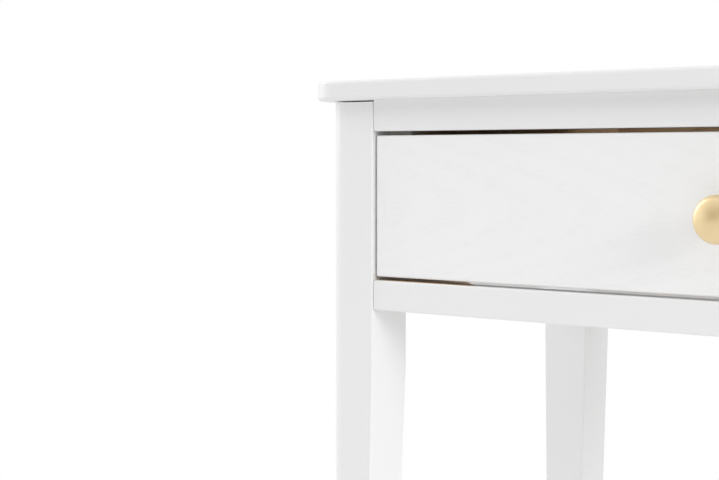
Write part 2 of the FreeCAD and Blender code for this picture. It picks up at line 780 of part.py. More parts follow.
def make_runner(side, sign):
    """The ledge that a drawer side slides on, screwed to the guide beside it."""
    at = (mirrored_x(sign, RUNNER_INNER_X, LEG_INNER_X), RAIL_BACK_Y, RUNNER_BOTTOM_Z)
    width = ref("runner_width")
    body = board("runner_" + side, at, (width, INNER_DEPTH, ref("runner_height")))
    soften(body, "eased", ref("strip_round"), runs_along("y"))
    face = "x_max" if sign < 0 else "x_min"
    middle = times(0.5, ref("runner_height"))
    centres = [(along(station, INNER_DEPTH), middle) for station in SCREW_STATIONS]
    drill(body, "heads", face, width, centres, LONG_HEAD_HOLE, ref("runner_counterbore"))
    drill(body, "shanks", face, width, centres, LONG_SCREW_HOLE, width)


def make_guide(side, sign):
    """A packing strip on the side apron, flush with the legs' inner faces."""
    thick = less(APRON_INNER_X, LEG_INNER_X)
    start = total(LEG_FRONT_Y, ref("leg_size"))
    at = (mirrored_x(sign, LEG_INNER_X, APRON_INNER_X), start, APRON_BOTTOM_Z)
    body = board("guide_" + side, at, (thick, SIDE_APRON_LENGTH, ref("guide_height")))
    face = "x_max" if sign < 0 else "x_min"
    shift = less(start, RAIL_BACK_Y)
    height = less(RUNNER_MIDDLE_Z, APRON_BOTTOM_Z)
    centres = [(less(along(station, INNER_DEPTH), shift), height) for station in SCREW_STATIONS]
    through_runner = less(ref("runner_width"), ref("runner_counterbore"))
    depth = total(less(ref("runner_screw_length"), through_runner), ref("hole_play"))
    drill(body, "pilots", face, thick, centres, LONG_SCREW_HOLE, depth)


def make_stop(side, sign):
    """A block at the back of a runner, which the closed drawer rests against."""
    side_outer = DRAWER_OUTER_X
    start = total(DRAWER_REAR_Y, ref("stop_gap"))
    inner = less(side_outer, ref("stop_width"))
    at = (mirrored_x(sign, inner, side_outer), start, RUNNER_TOP_Z)
    length = less(BACK_INNER_Y, start)
    board("drawer_stop_" + side, at, (ref("stop_width"), length, ref("stop_height")))


def make_corner_block(side, sign):
    """A triangular glue block between the lower rail and a runner."""
    at = (times(sign, RUNNER_INNER_X), RAIL_BACK_Y, RUNNER_BOTTOM_Z)
    body = new_body("corner_block_" + side, at, 0 if sign < 0 else 90)
    sketch = new_sketch(body, "outline", "XY_Plane")
    first = add_loop(sketch, ((0, 0), (10, 0), (0, 10)))
    leg = ref("corner_block_leg")
    for corner, place in enumerate((("0", "0"), (leg, "0"), ("0", leg))):
        place_point(sketch, first + corner, 1, place)
    pad(body, sketch, less(OPENING_BOTTOM_Z, RUNNER_BOTTOM_Z))


def make_carcase_screws():
    """The screws up into the top and the screws that hold the runners."""
    top_screw = screw("top_screw", "long_screw", ref("top_screw_length"))
    height = total(KICKER_BOTTOM_Z, ref("kicker_counterbore"))
    group("top_screws", top_screw, [((x, y, height), (0, 0, 1)) for x, y in kicker_screw_places()])

    runner_screw = screw("runner_screw", "long_screw", ref("runner_screw_length"))
    places = []
    for sign in (-1, 1):
        head = times(sign, total(RUNNER_INNER_X, ref("runner_counterbore")))
        for station in SCREW_STATIONS:
            at = (head, total(RAIL_BACK_Y, along(station, INNER_DEPTH)), RUNNER_MIDDLE_Z)
            places.append((at, (sign, 0, 0)))
    group("runner_screws", runner_screw, places)


# --------------------------------------------------------------------------------------
# Drawer
# --------------------------------------------------------------------------------------


def make_drawer_front():
    """The painted front: soft edges, a groove for the bottom and holes for its fittings."""
    at = (times(-1, DRAWER_OUTER_X), DRAWER_FACE_Y, FRONT_BOTTOM_Z)
    body = board("drawer_front", at, (DRAWER_WIDTH, ref("front_thick"), FRONT_HEIGHT))
    soften(body, "corners", ref("front_corner"), runs_along("y"))
    soften(body, "face", ref("front_round"), lies_at("y", 0.0))
    groove_width = less(DRAWER_WIDTH, times(2, GROOVE_INSET))
    corner = (GROOVE_INSET, less(GROOVE_Z, FRONT_BOTTOM_Z))
    slot(body, "groove", "y_max", ref("front_thick"), corner, groove_width, GROOVE_HEIGHT,
         ref("front_groove_depth"))
    centre = [(times(0.5, DRAWER_WIDTH), less(KNOB_Z, FRONT_BOTTOM_Z))]
    drill(body, "knob", "y_max", ref("front_thick"), centre, LONG_SCREW_HOLE, ref("front_thick"))
    centres = []
    for height in box_heights():
        for x in (times(0.5, ref("side_thick")), less(DRAWER_WIDTH, times(0.5, ref("side_thick")))):
            centres.append((x, less(height, FRONT_BOTTOM_Z)))
    depth = total(ref("front_dowel_bite"), ref("dowel_end_play"))
    drill(body, "dowels", "y_max", ref("front_thick"), centres, RAIL_DOWEL_HOLE, depth)


def box_heights():
    """Return the heights of the dowels and screws in a drawer side."""
    return [total(SIDE_BOTTOM_Z, along(station, SIDE_HEIGHT)) for station in BOX_STATIONS]


def make_drawer_side(side, sign):
    """A drawer side, doweled to the front and screwed to the back."""
    inner = less(DRAWER_OUTER_X, ref("side_thick"))
    at = (mirrored_x(sign, inner, DRAWER_OUTER_X), FRONT_BACK_Y, SIDE_BOTTOM_Z)
    thick = ref("side_thick")
    body = board("drawer_side_" + side, at, (thick, SIDE_LENGTH, SIDE_HEIGHT))
    upper = both(runs_along("y"), lies_at("z", top_level(body)))
    soften(body, "top", ref("box_round"), upper)
    inner_face, outer_face = ("x_max", "x_min") if sign < 0 else ("x_min", "x_max")
    corner = ("0", less(GROOVE_Z, SIDE_BOTTOM_Z))
    slot(body, "groove", inner_face, thick, corner, SIDE_LENGTH, GROOVE_HEIGHT, ref("groove_depth"))
    heights = [less(height, SIDE_BOTTOM_Z) for height in box_heights()]
    bite = less(ref("front_dowel_length"), ref("front_dowel_bite"))
    drill(body, "dowels", "y_min", SIDE_LENGTH, [(times(0.5, thick), height) for height in heights],
          RAIL_DOWEL_HOLE, total(bite, ref("dowel_end_play")))
    back_middle = less(SIDE_LENGTH, times(0.5, thick))
    centres = [(back_middle, height) for height in heights]
    head_hole = total(ref("box_head_diameter"), ref("hole_play"))
    drill(body, "heads", outer_face, thick, centres, head_hole, ref("box_counterbore"))
    drill(body, "shanks", outer_face, thick, centres, BOX_SCREW_HOLE, thick)


def make_drawer_back():
    """The drawer's back, between the sides and on top of the bottom."""
    thick = ref("side_thick")
    inner = less(DRAWER_OUTER_X, thick)
    at = (times(-1, inner), less(DRAWER_REAR_Y, thick), BOX_BACK_Z)
    body = board("drawer_back", at, (BOX_BACK_WIDTH, thick, BOX_BACK_HEIGHT))
    upper = both(runs_along("x"), lies_at("z", top_level(body)))
    soften(body, "top", ref("box_round"), upper)
    through_side = less(thick, ref("box_counterbore"))
    depth = total(less(ref("box_screw_length"), through_side), ref("hole_play"))
    centres = [(times(0.5, thick), less(height, BOX_BACK_Z)) for height in box_heights()]
    for face in ("x_min", "x_max"):
        drill(body, face, face, BOX_BACK_WIDTH, centres, BOX_SCREW_HOLE, depth)
    bite = less(ref("small_screw_length"), ref("bottom_thick"))
    centres = [(along(station, BOX_BACK_WIDTH), times(0.5, thick)) for station in BOTTOM_STATIONS]
    drill(body, "bottom", "z_min", "0", centres, SMALL_SCREW_HOLE, bite)


def make_drawer_bottom():
    """The thin bottom, in grooves at the front and sides and screwed up to the back."""
    width = less(DRAWER_WIDTH, times(2, GROOVE_INSET), times(4, ref("groove_play")))
    start = total(less(FRONT_BACK_Y, ref("front_groove_depth")), times(2, ref("groove_play")))
    at = (times(-0.5, width), start, PANEL_BOTTOM_Z)
    body = board("drawer_bottom", at, (width, less(DRAWER_REAR_Y, start), ref("bottom_thick")))
    centres = [(less(x, at[0]), less(y, start)) for x, y in bottom_screw_places()]
    drill(body, "holes", "z_min", "0", centres, SMALL_SCREW_HOLE, ref("bottom_thick"))


def bottom_screw_places():
    """Return X and Y of each screw that holds the drawer's bottom to its back."""
    y = less(DRAWER_REAR_Y, times(0.5, ref("side_thick")))
    left = less(ref("side_thick"), DRAWER_OUTER_X)
    return [(total(left, along(station, BOX_BACK_WIDTH)), y) for station in BOTTOM_STATIONS]


def make_drawer_fasteners():
    """The dowels and screws that hold the drawer box together."""
    front_dowel = dowel("front_dowel", ref("rail_dowel_diameter"), ref("front_dowel_length"))
    box_screw = screw("box_screw", "box_screw", ref("box_screw_length"))
    small_screw = screw("bottom_screw", "small_screw", ref("small_screw_length"))
    dowels = []
    screws = []
    middle = less(DRAWER_OUTER_X, times(0.5, ref("side_thick")))
    for sign in (-1, 1):
        for height in box_heights():
            at = (times(sign, middle), less(FRONT_BACK_Y, ref("front_dowel_bite")), height)
            dowels.append((at, (0, 1, 0)))
            head = times(sign, less(DRAWER_OUTER_X, ref("box_counterbore")))
            at = (head, less(DRAWER_REAR_Y, times(0.5, ref("side_thick"))), height)
            screws.append((at, (-sign, 0, 0)))
    group("drawer_dowels", front_dowel, dowels)
    group("drawer_back_screws", box_screw, screws)
    group("drawer_bottom_screws", small_screw,
          [((x, y, PANEL_BOTTOM_Z), (0, 0, 1)) for x, y in bottom_screw_places()])


# --------------------------------------------------------------------------------------
# Knob
# --------------------------------------------------------------------------------------


def draw_knob(sketch):
    """Draw half of the knob's section: foot, hollow neck, round rim and shallow dome."""
    rim = cell("knob_rim")
    rim_x = cell("knob_diameter") / 2 - rim
    rim_z = cell("knob_rim_height")
    length = cell("knob_length")
    neck = cell("knob_neck_diameter") / 2
    foot = cell("knob_base_diameter") / 2
    edge = cell("knob_base_edge")
    bore = (cell("long_screw_diameter") + cell("hole_play")) / 2
    bore_depth = cell("knob_bore_depth")

    # The flare between neck and rim is a quarter circle below the rim's centre.
    flare = rim_x - neck
    neck_z = rim_z - rim - flare
    # The hollow above the foot is tangent to the neck and passes the foot's edge.
    hollow = ((foot - neck) ** 2 + (neck_z - edge) ** 2) / (2 * (foot - neck))
    hollow_centre = FreeCAD.Vector(neck + hollow, neck_z, 0)
    # The dome is centred on the axis, and the rim touches it from inside.
    rise = length - rim_z
    dome = (rim_x ** 2 + rise ** 2 - rim ** 2) / (2 * (rise - rim))
    dome_z = length - dome
    meet = math.atan2(rim_z - dome_z, rim_x)

    def arc(centre, radius, start, end):
        circle = Part.Circle(centre, VERTICAL_AXIS, radius)
        return sketch.addGeometry(Part.ArcOfCircle(circle, start, end), False)

    def line(start, end):
        segment = Part.LineSegment(FreeCAD.Vector(*start, 0), FreeCAD.Vector(*end, 0))
        return sketch.addGeometry(segment, False)

    base = line((bore, 0), (foot, 0))
    base_edge = line((foot, 0), (foot, edge))
    foot_angle = math.atan2(edge - neck_z, foot - hollow_centre.x)
    hollow_arc = arc(hollow_centre, hollow, math.pi, foot_angle % (2 * math.pi))
    flare_arc = arc(FreeCAD.Vector(rim_x, neck_z, 0), flare, math.pi / 2, math.pi)
    rim_arc = arc(FreeCAD.Vector(rim_x, rim_z, 0), rim, -math.pi / 2, meet)
    dome_arc = arc(FreeCAD.Vector(0, dome_z, 0), dome, meet, math.pi / 2)
    axis = line((0, length), (0, bore_depth))
    bore_end = line((0, bore_depth), (bore, bore_depth))
    bore_wall = line((bore, bore_depth), (bore, 0))

    # Ends 1 and 2 are a curve's start and end, and arcs run counter-clockwise.
    joints = (
        ("Coincident", base, 2, base_edge, 1),
        ("Coincident", base_edge, 2, hollow_arc, 2),
        ("Tangent", hollow_arc, 1, flare_arc, 2),
        ("Tangent", flare_arc, 1, rim_arc, 1),
        ("Tangent", rim_arc, 2, dome_arc, 1),
        ("Coincident", dome_arc, 2, axis, 1),
        ("Coincident", axis, 2, bore_end, 1),
        ("Coincident", bore_end, 2, bore_wall, 1),
        ("Coincident", bore_wall, 2, base, 1),
    )
    for joint in joints:
        constrain(sketch, *joint)
    for item in (base, bore_end):
        constrain(sketch, "Horizontal", item)
    for item in (base_edge, axis, bore_wall):
        constrain(sketch, "Vertical", item)
    constrain(sketch, "PointOnObject", base, 1, -1)
    constrain(sketch, "PointOnObject", axis, 1, -2)
    constrain(sketch, "PointOnObject", dome_arc, 3, -2)
    constrain(sketch, "Vertical", flare_arc, 3, rim_arc, 3)
    constrain(sketch, "Horizontal", flare_arc, 3, flare_arc, 2)
    constrain(sketch, "Radius", rim_arc, to=ref("knob_rim"), guess=rim)
    rim_place = less(times(0.5, ref("knob_diameter")), ref("knob_rim"))
    across = (
        (rim_arc, 3, rim_place, rim_x),
        (base, 2, times(0.5, ref("knob_base_diameter")), foot),
        (flare_arc, 2, times(0.5, ref("knob_neck_diameter")), neck),
        (bore_wall, 1, times(0.5, LONG_SCREW_HOLE), bore),
    )
    for item, point, place, guess in across:
        constrain(sketch, "DistanceX", -1, 1, item, point, to=place, guess=guess)
    upward = (
        (rim_arc, 3, ref("knob_rim_height"), rim_z),
        (base_edge, 2, ref("knob_base_edge"), edge),
        (dome_arc, 2, ref("knob_length"), length),
        (bore_wall, 1, ref("knob_bore_depth"), bore_depth),
    )
    for item, point, place, guess in upward:
        constrain(sketch, "DistanceY", -1, 1, item, point, to=place, guess=guess)


def make_knob():
    """The turned brass knob, its washer and the machine screw from inside the drawer."""
    knob = new_body("knob", ("0", DRAWER_FACE_Y, KNOB_Z), tilt=90)
    turned(knob, draw_knob)

    washer = new_body("knob_washer", ("0", total(FRONT_BACK_Y, ref("washer_thick")), KNOB_Z), tilt=90)
    sketch = new_sketch(washer, "outline", "XY_Plane")
    add_circle(sketch, ("0", "0"), ref("washer_diameter"))
    add_circle(sketch, ("0", "0"), LONG_SCREW_HOLE)
    pad(washer, sketch, ref("washer_thick"))

    knob_screw = screw("knob_screw_master", "long_screw", ref("knob_screw_length"))
    head = total(FRONT_BACK_Y, ref("washer_thick"))
    group("knob_screw", knob_screw, [(("0", head, KNOB_Z), (0, -1, 0))])


# --------------------------------------------------------------------------------------
# The whole table
# --------------------------------------------------------------------------------------

make_top()
make_legs()
make_front_rails()
make_aprons()
make_carcase_dowels()
for side_name, side_sign in (("left", -1), ("right", 1)):
    make_kicker(side_name, side_sign)
    make_runner(side_name, side_sign)
    make_guide(side_name, side_sign)
    make_stop(side_name, side_sign)
    make_corner_block(side_name, side_sign)
make_carcase_screws()
make_drawer_front()
for side_name, side_sign in (("left", -1), ("right", 1)):
    make_drawer_side(side_name, side_sign)
make_drawer_back()
make_drawer_bottom()
make_drawer_fasteners()
make_knob()
doc.recompute()


def check_document():
    """Stop if any object failed, any cut removed nothing, or any node is not a valid solid."""
    for item in doc.Objects:
        if "Invalid" in item.State or "Error" in item.State:
            raise RuntimeError(f"{item.Label} failed: {item.State}")
        if item.TypeId == "PartDesign::Pocket":
            removed = item.BaseFeature.Shape.Volume - item.Shape.Volume
            if removed < 1e-3:
                raise RuntimeError(f"{item.Label} cuts nothing")
    for node in nodes:
        shape = node.Shape
        if shape.isNull() or not shape.isValid() or not shape.Solids:
            raise RuntimeError(f"{node.Label} has no valid solid")


def write_parts():
    """Write each node to a STEP file that carries its name."""
    os.makedirs("parts", exist_ok=True)
    for node in nodes:
        node.Shape.exportStep(os.path.join("parts", node.Label + ".step"))
        print(f"{node.Label}: {len(node.Shape.Solids)} solid(s), {node.Shape.Volume:.1f} mm3")


check_document()
write_parts()
print(f"{len(nodes)} nodes")
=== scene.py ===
"""A compact dressing table in white satin paint over open-grained wood, with a brass knob.

Metres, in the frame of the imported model: +Z up, the drawer front and its knob face -Y, and
the floor is Z = 0. Every piece is a CAD node; this script gives them their materials, the
studio and the camera.
"""

import math

import bpy
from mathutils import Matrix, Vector


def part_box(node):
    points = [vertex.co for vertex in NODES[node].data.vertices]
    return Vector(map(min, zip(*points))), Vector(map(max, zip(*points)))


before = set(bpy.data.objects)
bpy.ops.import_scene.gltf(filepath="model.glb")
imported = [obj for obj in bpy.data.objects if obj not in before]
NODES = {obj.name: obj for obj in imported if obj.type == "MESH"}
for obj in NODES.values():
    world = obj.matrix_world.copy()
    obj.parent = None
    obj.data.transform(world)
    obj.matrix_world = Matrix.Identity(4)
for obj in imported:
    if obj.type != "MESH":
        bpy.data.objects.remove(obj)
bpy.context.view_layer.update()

MM = 0.001

# The places that the looks depend on: the lowest and highest corners of pieces' boxes.
TOP_LOW, TOP_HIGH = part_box("table_top")
FRONT_LOW, FRONT_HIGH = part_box("drawer_front")
RAIL_LOW, RAIL_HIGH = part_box("front_upper_rail")
LOWER_RAIL_LOW, LOWER_RAIL_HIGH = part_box("front_lower_rail")
BOTTOM_LOW, BOTTOM_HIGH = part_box("drawer_bottom")
KNOB_LOW, KNOB_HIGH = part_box("knob")
LEG_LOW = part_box("leg_front_left")[0]
BLOCK_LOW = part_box("corner_block_right")[0]
BACK_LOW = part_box("back_apron")[0]
APRON_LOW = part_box("side_apron_right")[0]
KNOB_CENTRE = (KNOB_LOW + KNOB_HIGH) / 2
FRONT_CENTRE = (FRONT_LOW + FRONT_HIGH) / 2


# ----------------------------------------------------------------------------------------
# Node trees
# ----------------------------------------------------------------------------------------


class Graph:
    """A node tree that is being wired up. Each call adds nodes and returns an output.

    surface is the input of a material's output node.
    """

    def __init__(self, tree):
        self.tree = tree
        self.surface = None
        tree.nodes.clear()

    def node(self, kind, inputs=None, **settings):
        """Add one node, with its inputs linked or set by name or number."""
        node = self.tree.nodes.new("ShaderNode" + kind)
        for name, value in settings.items():
            setattr(node, name, value)
        for key, value in (inputs or {}).items():
            self.feed(node.inputs[key], value)
        return node

    def feed(self, socket, value):
        """Link an output to a socket, or set the socket to a plain value."""
        if isinstance(value, bpy.types.NodeSocket):
            self.tree.links.new(value, socket)
        else:
            socket.default_value = value

    def math(self, operation, *terms, clamp=False):
        """Do one sum or comparison on plain values or outputs."""
        node = self.node("Math", dict(enumerate(terms)), operation=operation, use_clamp=clamp)
        return node.outputs[0]

    def add(self, *terms):
        """Add any number of terms."""
        total = terms[0]
        for term in terms[1:]:
            total = self.math("ADD", total, term)
        return total

    def times(self, a, b):
        """Multiply two values."""
        return self.math("MULTIPLY", a, b)

    def remap(self, value, low, high, to_low=0.0, to_high=1.0, smooth=False):
        """Map low..high to to_low..to_high, and hold the ends."""
        kind = "SMOOTHSTEP" if smooth else "LINEAR"
        ends = {0: value, 1: low, 2: high, 3: to_low, 4: to_high}
        return self.node("MapRange", ends, interpolation_type=kind, clamp=True).outputs[0]

    def split(self, vector):
        """Split a vector into its three parts."""
        return self.node("SeparateXYZ", {0: vector}).outputs

    def join(self, x, y, z):
        """Join three parts into a vector."""
        return self.node("CombineXYZ", {0: x, 1: y, 2: z}).outputs[0]

    def shift(self, vector, offset):
        """Move a vector by an offset."""
        return self.node("VectorMath", {0: vector, 1: offset}, operation="ADD").outputs[0]

    def stretch(self, board, lengthwise, crosswise):
        """Scale a place in a board along its grain, and by another factor across and into it."""
        along, across, deep = board
        return self.join(self.times(along, lengthwise), self.times(across, crosswise),
                         self.times(deep, crosswise))

    def noise(self, vector, scale=1.0, detail=2.0):
        """Return smooth noise from 0 to 1."""
        settings = {"Vector": vector, "Scale": scale, "Detail": detail, "Roughness": 0.5}
        return self.node("TexNoise", settings).outputs[0]

    def cells(self, vector):
        """Return the distance to the nearest scattered point, and that point's random number."""
        node = self.node("TexVoronoi", {"Vector": vector, "Scale": 1.0})
        return node.outputs["Distance"], self.split(node.outputs["Color"])[0]

    def mix(self, factor, a, b):
        """Mix two colours."""
        node = self.node("Mix", {0: factor, 6: a, 7: b}, data_type="RGBA")
        return node.outputs[2]

    def place(self):
        """Return a point's place in the model's frame, with every joint at rest."""
        return self.node("TexCoord").outputs["Object"]

    def facing_up(self):
        """Return 1 on the faces of a piece that look upward."""
        normal = self.node("TexCoord").outputs["Normal"]
        return self.math("GREATER_THAN", self.split(normal)[2], 0.5)

    def bump(self, height, distance):
        """Return the normal of a relief whose height 1 stands a distance above height 0."""
        inputs = {"Strength": 1.0, "Distance": distance, "Height": height}
        return self.node("Bump", inputs).outputs[0]


def new_material(name, **constants):
    """Start a material: its node tree, and a shader whose constant values are set on it."""
    material = bpy.data.materials.new(name)
    material.use_nodes = True
    graph = Graph(material.node_tree)
    shader = graph.node("BsdfPrincipled")
    graph.surface = graph.node("OutputMaterial").inputs["Surface"]
    graph.feed(graph.surface, shader.outputs[0])
    for socket, value in constants.items():
        shader.inputs[socket.replace("_", " ")].default_value = value
    return material, graph, shader


def wire(graph, shader, colour, roughness, relief, depth):
    """Give a shader its colour, its roughness and a relief of a depth."""
    graph.feed(shader.inputs["Base Color"], colour)
    graph.feed(shader.inputs["Roughness"], roughness)
    graph.feed(shader.inputs["Normal"], graph.bump(relief, depth))


def gray(value):
    """Return a neutral colour."""
    return (value, value, value, 1.0)


# ----------------------------------------------------------------------------------------
# Wood: growth rings and pores
# ----------------------------------------------------------------------------------------

# The order of the axes that puts the grain's direction first, then across it, then deep.
GRAIN_ORDER = {"x": (0, 2, 1), "y": (1, 0, 2), "z": (2, 0, 1)}
# How far a pore strays sideways along its length.
PORE_STRAY = 1.6 * MM
# The reach of a pore in its cell, as a share of the cell.
PORE_REACH = 0.36
# The length and the width of the cells that hold the pores of the three layers.
COARSE_PORES = (16.0 * MM, 0.75 * MM)
FINE_PORES = (11.0 * MM, 0.6 * MM)
FINEST_PORES = (13.0 * MM, 0.55 * MM)
# How far the finest layer is moved along the grain, so that it doesn't line up with the others.
FINEST_SHIFT = 5.3 * MM
# The stretch of a growth ring in which its pores thin out, and the share that stays after it.
PORES_THIN_OUT = (0.34, 0.54)
LATE_PORES = 0.04


def board_space(graph, grain, origin):
    """Return a point's place in a board: along the grain, across it and into it."""
    local = graph.shift(graph.place(), tuple(-value for value in origin))
    parts = graph.split(local)
    return tuple(parts[axis] for axis in GRAIN_ORDER[grain])


def ring_phase(graph, board, pith, taper, spacing, wobble):
    """Return where a point lies in its growth ring, from 0 to 1.

    The rings are nested cones round the pith, whose two offsets are across and into the
    board. Where a flat face cuts them they make arches that open away from the taper.
    """
    along, across, deep = board
    dx = graph.add(across, -pith[0])
    dy = graph.add(deep, -pith[1])
    radius = graph.math("SQRT", graph.add(graph.times(dx, dx), graph.times(dy, dy)))
    drift = graph.noise(graph.stretch(board, 5.0, 14.0), detail=3.0)
    ring = graph.add(radius, graph.times(along, taper), graph.times(drift, wobble))
    return graph.math("FRACT", graph.math("DIVIDE", ring, spacing))


def pore_dashes(graph, board, density, size):
    """Return 1 in the pores and 0 between them: short dashes along the grain.

    density, from 0 to 1, is the share of the pores that is there.
    """
    along, across, deep = board
    length, width = size
    waver = graph.noise(graph.join(graph.times(along, 60.0), graph.times(across, 60.0), 0.0))
    level = graph.add(across, graph.times(waver, PORE_STRAY))
    cell = graph.join(graph.math("DIVIDE", along, length), graph.math("DIVIDE", level, width),
                      graph.math("DIVIDE", deep, width))
    distance, chance = graph.cells(cell)
    dash = graph.remap(distance, PORE_REACH * 0.3, PORE_REACH, 1.0, 0.0, smooth=True)
    return graph.times(dash, graph.math("LESS_THAN", chance, density))


def open_pores(graph, board, phase, amount):
    """Return the pores of ring-porous wood: rows of dashes where each ring begins."""
    early = graph.remap(phase, *PORES_THIN_OUT, 1.0, LATE_PORES, smooth=True)
    patches = graph.remap(graph.noise(graph.stretch(board, 12.0, 40.0)), 0.35, 0.55, 0.6, 1.0)
    density = graph.times(graph.times(early, patches), amount)
    coarse = pore_dashes(graph, board, density, COARSE_PORES)
    fine = pore_dashes(graph, board, density, FINE_PORES)
    aside = (graph.add(board[0], FINEST_SHIFT), board[1], board[2])
    finest = pore_dashes(graph, aside, density, FINEST_PORES)
    short = graph.math("MAXIMUM", fine, finest)
    return graph.math("MAXIMUM", coarse, graph.times(short, 0.8))


# ----------------------------------------------------------------------------------------
# Materials
# ----------------------------------------------------------------------------------------

# How light the paint is: in general, lighter on the drawer front as painted light, darker on the top
# as painted shade, and darker in the pores as painted shade in their grooves.
PAINT = 0.79
PAINT_WITH_PAINTED_LIGHT_ON_DRAWER = 0.84
PAINT_WITH_PAINTED_SHADE_ON_TOP = 0.765
PAINTED_SHADE_IN_PORES = 0.62
# How much the pores are darkened: painted shade in their grooves, on top of their relief.
PORE_SHADE_SHARE = 0.18
# How light the white paint dust on bare wood is; this paler tone is also painted light, where light
# comes in through the front gap and the open bottom. From below it is full up to the first height and
# gone at the second, and from the front it is gone at a distance behind the rail.
SPRAY_AND_PAINTED_LIGHT = 0.72
SPRAY_AND_LIGHT_HEIGHTS = (APRON_LOW.z + 25 * MM, APRON_LOW.z + 75 * MM)
SPRAY_AND_LIGHT_BEHIND_RAIL = 22 * MM
# The colours of unpainted wood, late and early in a growth ring.
RAW_DARK = (0.50, 0.33, 0.19, 1.0)
RAW_LIGHT = (0.70, 0.52, 0.34, 1.0)
BEECH_DARK = (0.45, 0.28, 0.15, 1.0)
BEECH_LIGHT = (0.62, 0.43, 0.26, 1.0)
# The colours of hardboard's edges, brass and zinc, each between two tones, and how thick the
# hardboard's white skin is.
FIBRE_DARK = (0.24, 0.13, 0.06, 1.0)
FIBRE_LIGHT = (0.36, 0.21, 0.11, 1.0)
SKIN_THICK = 0.15 * MM
BRASS_DARK = (0.78, 0.60, 0.30, 1.0)
BRASS_LIGHT = (0.80, 0.62, 0.33, 1.0)
ZINC_DARK = (0.50, 0.51, 0.53, 1.0)
ZINC_LIGHT = (0.70, 0.70, 0.69, 1.0)


def raw_wood_colour(graph, board, phase, dark, light):
    """Return the colour of unpainted wood, from its rings and fibres, and the fibres."""
    late = graph.remap(phase, 0.45, 0.97, smooth=True)
    fibres = graph.noise(graph.stretch(board, 30.0, 1400.0), detail=3.0)
    mottle = graph.noise(graph.stretch(board, 6.0, 25.0), detail=3.0)
    tone = graph.add(graph.times(late, 0.55), graph.times(fibres, 0.4), graph.times(mottle, 0.35),
                     -0.3)
    return graph.mix(graph.math("MAXIMUM", tone, 0.0, clamp=True), light, dark), fibres


def spray_and_painted_light(graph):
    """Return how much paint has drifted onto bare wood, from the front and from below.

    The paler tone also stands for the light that comes in there: painted light.
    """
    place = graph.place()
    _, y, z = graph.split(place)
    behind = graph.add(y, -RAIL_HIGH.y)
    from_front = graph.remap(behind, 0.0, SPRAY_AND_LIGHT_BEHIND_RAIL, 0.8, 0.0, smooth=True)
    from_below = graph.remap(z, *SPRAY_AND_LIGHT_HEIGHTS, 1.0, 0.0, smooth=True)
    speckle = graph.remap(graph.noise(place, 600.0, 3.0), 0.3, 0.7, 0.85, 1.0)
    reached = graph.math("SUBTRACT", 1.0, graph.facing_up())
    nearest = graph.math("MAXIMUM", from_front, from_below)
    return graph.times(graph.times(nearest, speckle), reached)


def bare_side(axis, direction, level):
    """Return a test for the one bare side of a piece, at a level of an axis."""

    def test(graph):
        depth = graph.times(graph.add(graph.split(graph.place())[axis], -level), direction)
        return graph.remap(depth, -0.4 * MM, -0.1 * MM, smooth=True)

    return test


def bare_rail_corners(graph):
    """Test for the bare corners on the lower rail's top, in line with the corner blocks."""
    x, y, z = graph.split(graph.place())
    reach = graph.add(graph.math("ABSOLUTE", x), graph.times(y, -1.0),
                      LOWER_RAIL_HIGH.y - BLOCK_LOW.x)
    beyond = graph.remap(reach, 0.0, 3 * MM, smooth=True)
    behind_arris = graph.remap(y, LOWER_RAIL_LOW.y + 1.2 * MM, LOWER_RAIL_LOW.y + 2 * MM)
    on_top = graph.math("GREATER_THAN", z, LOWER_RAIL_HIGH.z - 0.3 * MM)
    return graph.times(graph.times(beyond, behind_arris), on_top)


def painted_wood(name, grain, origin, pith=(0.0, 14 * MM), taper=-0.18, spacing=15 * MM,
                 pores=0.08, paint=PAINT, bare=None):
    """White satin paint over open-grained wood; bare is a test for the part left unpainted."""
    material, graph, shader = new_material(name, Specular_IOR_Level=0.45)
    board = board_space(graph, grain, origin)
    phase = ring_phase(graph, board, pith, taper, spacing, 6 * MM)
    dashes = open_pores(graph, board, phase, pores)

    place = graph.place()
    cloud = graph.remap(graph.noise(place, 7.0, 3.0), 0.3, 0.7)
    peel = graph.noise(place, 700.0)
    colour = graph.mix(cloud, gray(paint * 0.99), gray(paint * 1.005))
    # The pores are darkened towards a grey: painted shade in their grooves.
    colour = graph.mix(graph.times(dashes, PORE_SHADE_SHARE), colour, gray(PAINTED_SHADE_IN_PORES))
    roughness = graph.add(graph.remap(cloud, 0.0, 1.0, 0.38, 0.44), graph.times(dashes, 0.1))
    relief = graph.add(graph.times(peel, 0.12), graph.times(phase, 0.2),
                       graph.times(dashes, -1.0))

    if bare is not None:
        mask = bare(graph)
        wood, fibres = raw_wood_colour(graph, board, phase, RAW_DARK, RAW_LIGHT)
        # Paler towards the front gap and the open bottom: white paint dust, and painted light where
        # light comes in.
        wood = graph.mix(spray_and_painted_light(graph), wood, gray(SPRAY_AND_PAINTED_LIGHT))
        colour = graph.mix(mask, colour, wood)
        roughness = graph.add(roughness, graph.times(mask, 0.3))
        relief = graph.add(relief, graph.times(graph.times(fibres, mask), 1.2))

    wire(graph, shader, colour, roughness, relief, 0.045 * MM)
    return material


def raw_wood(name, grain, origin, pith=(21 * MM, 31 * MM), dark=RAW_DARK, light=RAW_LIGHT,
             spacing=5 * MM, sprayed_and_painted_light=False):
    """Sanded wood with no finish, dusted with white paint where spray has reached it.

    The dusting also paints in the light that comes in there: painted light.
    """
    material, graph, shader = new_material(name, Specular_IOR_Level=0.3)
    board = board_space(graph, grain, origin)
    phase = ring_phase(graph, board, pith, 0.01, spacing, 4 * MM)
    colour, fibres = raw_wood_colour(graph, board, phase, dark, light)
    # Paler towards the front gap and the open bottom: white paint dust, and painted light where light
    # comes in.
    if sprayed_and_painted_light:
        colour = graph.mix(spray_and_painted_light(graph), colour, gray(SPRAY_AND_PAINTED_LIGHT))
    roughness = graph.remap(fibres, 0.2, 0.8, 0.62, 0.8)
    relief = graph.add(graph.times(fibres, 0.6), graph.times(phase, 0.4))
    wire(graph, shader, colour, roughness, relief, 0.08 * MM)
    return material


